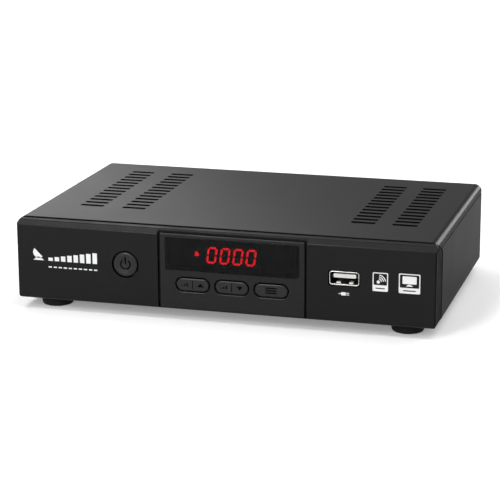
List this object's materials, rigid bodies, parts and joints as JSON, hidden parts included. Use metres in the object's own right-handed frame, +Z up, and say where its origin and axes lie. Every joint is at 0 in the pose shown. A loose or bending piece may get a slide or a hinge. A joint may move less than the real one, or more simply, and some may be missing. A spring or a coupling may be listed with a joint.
{
  "type": "satellite television receiver",
  "caption": "Flat set-top satellite receiver with a lit four-digit display, sprung power button and keys, a front USB socket and rear sockets.",
  "frame": {"origin": "on the plane under the feet, below the middle of the whole object's box", "axes": "+X to the right along the front as the user faces it, +Y from the front to the back, +Z up; the front faces -Y"},
  "size_m": [0.2, 0.133, 0.044],
  "materials": {
    "black_paint": "satin",
    "black_plastic": "fine satin",
    "fascia_plastic": "semi-gloss",
    "key_plastic": "satin",
    "smoked_window": "polished",
    "red_display": "lit",
    "circuit_board": "lacquered",
    "bright_metal": "plated",
    "aluminium": "plain",
    "white_plastic": "plain",
    "grey_plastic": "plain",
    "yellow_plastic": "moulded",
    "red_plastic": "moulded",
    "chip_plastic": "plain",
    "rubber": "matt"
  },
  "bodies": {
    "housing": {"front_bezel": "black_plastic", "centre_fascia": "fascia_plastic", "display_window": "smoked_window", "top_cover": "black_paint", "bottom_chassis": "black_paint", "rear_panel": "black_paint", "power_switch": "black_plastic", "channel_up_switch": "black_plastic", "channel_down_switch": "black_plastic", "menu_switch": "black_plastic", "front_board": "circuit_board", "display_spacer": "black_plastic", "display_module": "red_display", "status_led": "red_display", "infrared_receiver": "black_plastic", "front_board_screw_left": "bright_metal", "front_board_screw_right": "bright_metal", "usb_shell": "bright_metal", "usb_tongue": "white_plastic", "main_board": "circuit_board", "main_board_screw_1": "bright_metal", "main_board_screw_2": "bright_metal", "main_board_screw_3": "bright_metal", "main_board_screw_4": "bright_metal", "processor_chip": "chip_plastic", "heatsink": "aluminium", "memory_chip": "chip_plastic", "filter_capacitor_1": "chip_plastic", "filter_capacitor_2": "chip_plastic", "supply_inductor": "chip_plastic", "tuner_can": "bright_metal", "lnb_input_barrel": "bright_metal", "lnb_input_insulator": "white_plastic", "loop_output_barrel": "bright_metal", "loop_output_insulator": "white_plastic", "hdmi_shell": "bright_metal", "hdmi_tongue": "black_plastic", "av_block": "black_plastic", "video_jack": "yellow_plastic", "left_audio_jack": "white_plastic", "right_audio_jack": "red_plastic", "power_inlet": "black_plastic", "ribbon_cable": "grey_plastic", "front_header": "white_plastic", "main_header": "white_plastic", "cover_screw_left": "bright_metal", "cover_screw_right": "bright_metal", "foot_front_left": "rubber", "foot_front_right": "rubber", "foot_back_left": "rubber", "foot_back_right": "rubber"},
    "power_press_body": {"power_button": "key_plastic", "power_plunger": "black_plastic"},
    "channel_up_press_body": {"channel_up_key": "key_plastic", "channel_up_plunger": "black_plastic"},
    "channel_down_press_body": {"channel_down_key": "key_plastic", "channel_down_plunger": "black_plastic"},
    "menu_press_body": {"menu_key": "key_plastic", "menu_plunger": "black_plastic"}
  },
  "joints": [
    {"name": "power_press", "type": "slide", "parent": "housing", "child": "power_press_body", "axis": [0, 1, 0], "range_m": [0, 0.0005], "stiffness_N_per_m": 600},
    {"name": "channel_up_press", "type": "slide", "parent": "housing", "child": "channel_up_press_body", "axis": [0, 1, 0], "range_m": [0, 0.0005], "stiffness_N_per_m": 600},
    {"name": "channel_down_press", "type": "slide", "parent": "housing", "child": "channel_down_press_body", "axis": [0, 1, 0], "range_m": [0, 0.0005], "stiffness_N_per_m": 600},
    {"name": "menu_press", "type": "slide", "parent": "housing", "child": "menu_press_body", "axis": [0, 1, 0], "range_m": [0, 0.0005], "stiffness_N_per_m": 600}
  ]
}
